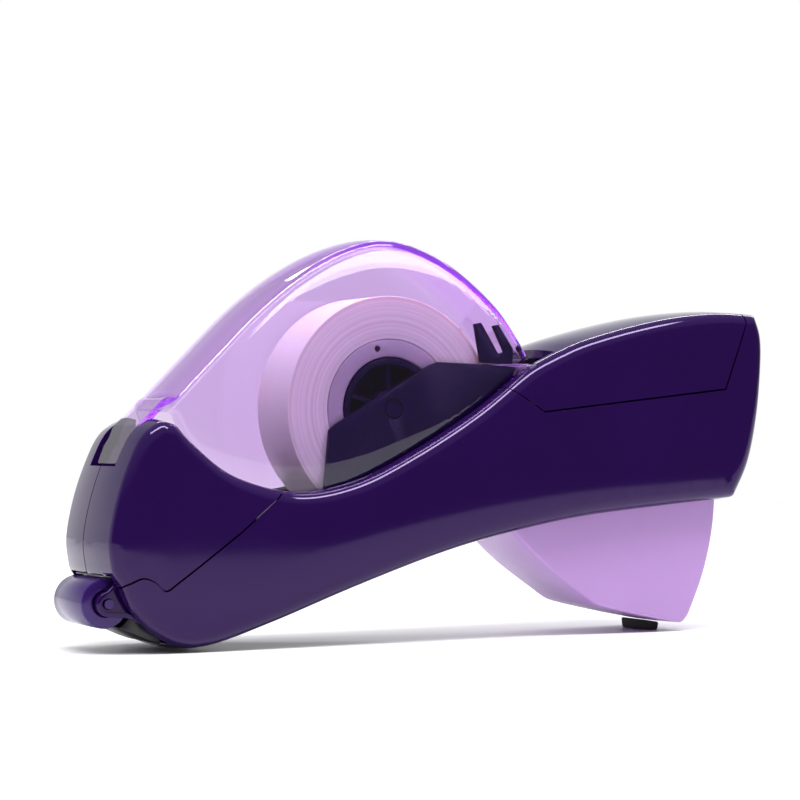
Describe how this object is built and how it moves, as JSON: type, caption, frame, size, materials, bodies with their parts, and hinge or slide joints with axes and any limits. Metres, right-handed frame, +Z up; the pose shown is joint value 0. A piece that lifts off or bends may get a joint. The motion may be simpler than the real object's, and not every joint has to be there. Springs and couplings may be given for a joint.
{
  "type": "hand-held tape dispenser",
  "caption": "Hand-held tape dispenser with a squeeze trigger, gear-driven feed roller, swinging cutter, nose roller and a hinged clear cover over the tape roll.",
  "frame": {"origin": "on the floor under the middle of the bounding box, as the dispenser stands on its nose and its trigger foot", "axes": "+X from the nose towards the handle end, +Y across the width, +Z up"},
  "size_m": [0.1842, 0.035, 0.0978],
  "materials": {
    "purple_plastic": "glossy dark purple ABS",
    "satin_purple_plastic": "satin dark purple ABS",
    "clear_lilac_plastic": "clear lilac polystyrene",
    "lilac_plastic": "satin lilac ABS",
    "core_plastic": "natural white plastic core",
    "tape_film": "clear adhesive film wound in layers",
    "gear_plastic": "natural acetal",
    "steel": "plain steel",
    "black_plastic": "satin black ABS",
    "roller_plastic": "smooth purple plastic",
    "rubber": "black rubber"
  },
  "bodies": {
    "housing": {"left_body_shell": "purple_plastic", "right_body_shell": "purple_plastic", "left_nose_shell": "purple_plastic", "right_nose_shell": "purple_plastic", "handle_cap": "purple_plastic", "cover_hinge_pin": "steel", "left_frame_plate": "satin_purple_plastic", "right_frame_plate": "satin_purple_plastic", "left_roll_stop": "satin_purple_plastic", "right_roll_stop": "satin_purple_plastic", "hub_axle": "satin_purple_plastic", "tape_lead": "tape_film", "trigger_pin": "steel", "trigger_spring": "steel", "gear_pin_1": "steel", "gear_pin_2": "steel", "gear_pin_3": "steel", "gear_pin_4": "steel", "press_roller_axle": "roller_plastic", "left_roller_arm": "purple_plastic", "right_roller_arm": "purple_plastic", "nose_block": "black_plastic", "cutter_pin": "steel", "cutter_spring": "steel", "body_screw_1": "steel", "body_screw_2": "steel", "body_screw_3": "steel", "body_screw_4": "steel", "body_screw_5": "steel"},
    "trigger_lever": {"trigger": "lilac_plastic", "trigger_foot": "rubber"},
    "compound": {"compound_gear": "gear_plastic"},
    "idler_1": {"idler_gear_1": "gear_plastic"},
    "idler_2": {"idler_gear_2": "gear_plastic"},
    "idler_3": {"idler_gear_3": "gear_plastic"},
    "feed_unit": {"feed_pinion": "gear_plastic", "feed_axle": "steel", "feed_roller_core": "black_plastic", "feed_roller_tyre": "rubber"},
    "spool": {"tape_hub": "satin_purple_plastic", "tape_core": "core_plastic", "tape_roll": "tape_film"},
    "cutter": {"cutter_carrier": "black_plastic", "cutter_blade": "steel"},
    "nose_roller": {"press_roller": "roller_plastic"},
    "cover": {"clear_cover": "clear_lilac_plastic"}
  },
  "joints": [
    {"name": "trigger_squeeze", "type": "hinge", "parent": "housing", "child": "trigger_lever", "pos_m": [0.014, 0, 0.036], "axis": [0, -1, 0], "range_deg": [0, 24], "stiffness_Nm_per_rad": 0.8, "springref_deg": -20.05, "deforming": ["trigger_spring"]},
    {"name": "compound_gear_spin", "type": "hinge", "parent": "housing", "child": "compound", "pos_m": [-0.01066, 0, 0.03253], "axis": [0, -1, 0], "continuous": true},
    {"name": "idler_1_spin", "type": "hinge", "parent": "housing", "child": "idler_1", "pos_m": [-0.02537, 0, 0.02599], "axis": [0, -1, 0], "continuous": true},
    {"name": "idler_2_spin", "type": "hinge", "parent": "housing", "child": "idler_2", "pos_m": [-0.04108, 0, 0.0225], "axis": [0, -1, 0], "continuous": true},
    {"name": "idler_3_spin", "type": "hinge", "parent": "housing", "child": "idler_3", "pos_m": [-0.0571, 0, 0.02082], "axis": [0, -1, 0], "continuous": true},
    {"name": "feed_roller_spin", "type": "hinge", "parent": "housing", "child": "feed_unit", "pos_m": [-0.0698, 0, 0.01858], "axis": [0, -1, 0], "continuous": true},
    {"name": "spool_spin", "type": "hinge", "parent": "housing", "child": "spool", "pos_m": [-0.0129, 0, 0.0564], "axis": [0, -1, 0], "continuous": true},
    {"name": "cutter_swing", "type": "hinge", "parent": "housing", "child": "cutter", "pos_m": [-0.062, 0, 0.036], "axis": [0, -1, 0], "range_deg": [-0.2, 5.7], "deforming": ["cutter_spring"]},
    {"name": "nose_roller_spin", "type": "hinge", "parent": "housing", "child": "nose_roller", "pos_m": [-0.0863, 0, 0.0115], "axis": [0, -1, 0], "continuous": true},
    {"name": "cover_open", "type": "hinge", "parent": "housing", "child": "cover", "pos_m": [0.024, 0, 0.066], "axis": [0, 1, 0], "range_deg": [0, 60]}
  ],
  "couplings": [
    {"joint": "compound_gear_spin", "follows": "trigger_squeeze", "ratio": -4.1667},
    {"joint": "idler_1_spin", "follows": "trigger_squeeze", "ratio": 4.1667},
    {"joint": "idler_2_spin", "follows": "trigger_squeeze", "ratio": -4.1667},
    {"joint": "idler_3_spin", "follows": "trigger_squeeze", "ratio": 4.1667},
    {"joint": "feed_roller_spin", "follows": "trigger_squeeze", "ratio": -6.9444},
    {"joint": "spool_spin", "follows": "trigger_squeeze", "ratio": -2.0276},
    {"joint": "cutter_swing", "follows": "trigger_squeeze", "ratio": 0.22917}
  ]
}
